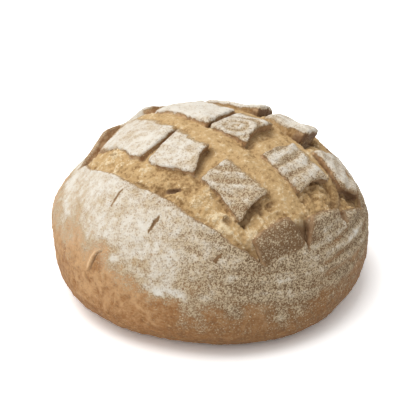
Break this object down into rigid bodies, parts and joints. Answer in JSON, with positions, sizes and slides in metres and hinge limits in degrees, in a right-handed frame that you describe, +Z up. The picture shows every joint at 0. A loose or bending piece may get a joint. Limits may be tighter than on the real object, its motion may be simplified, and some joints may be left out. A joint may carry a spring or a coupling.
{
  "type": "spelt sourdough loaf",
  "caption": "Round domed spelt sourdough loaf with a floured crust, scored in a crossed grid whose cuts have burst open between lifted plates; stands on its flat base, for slicing.",
  "frame": {"origin": "centre of the loaf's box, on the surface that it stands on", "axes": "+Z up through the crown; +X to the right of the side with the low front score, along the loaf's widest way; +Y away from that side"},
  "size_m": [0.2332, 0.2278, 0.126],
  "materials": {
    "crust": "matte baked crust dusted with flour"
  },
  "bodies": {
    "root": {"loaf": "crust"}
  },
  "joints": []
}
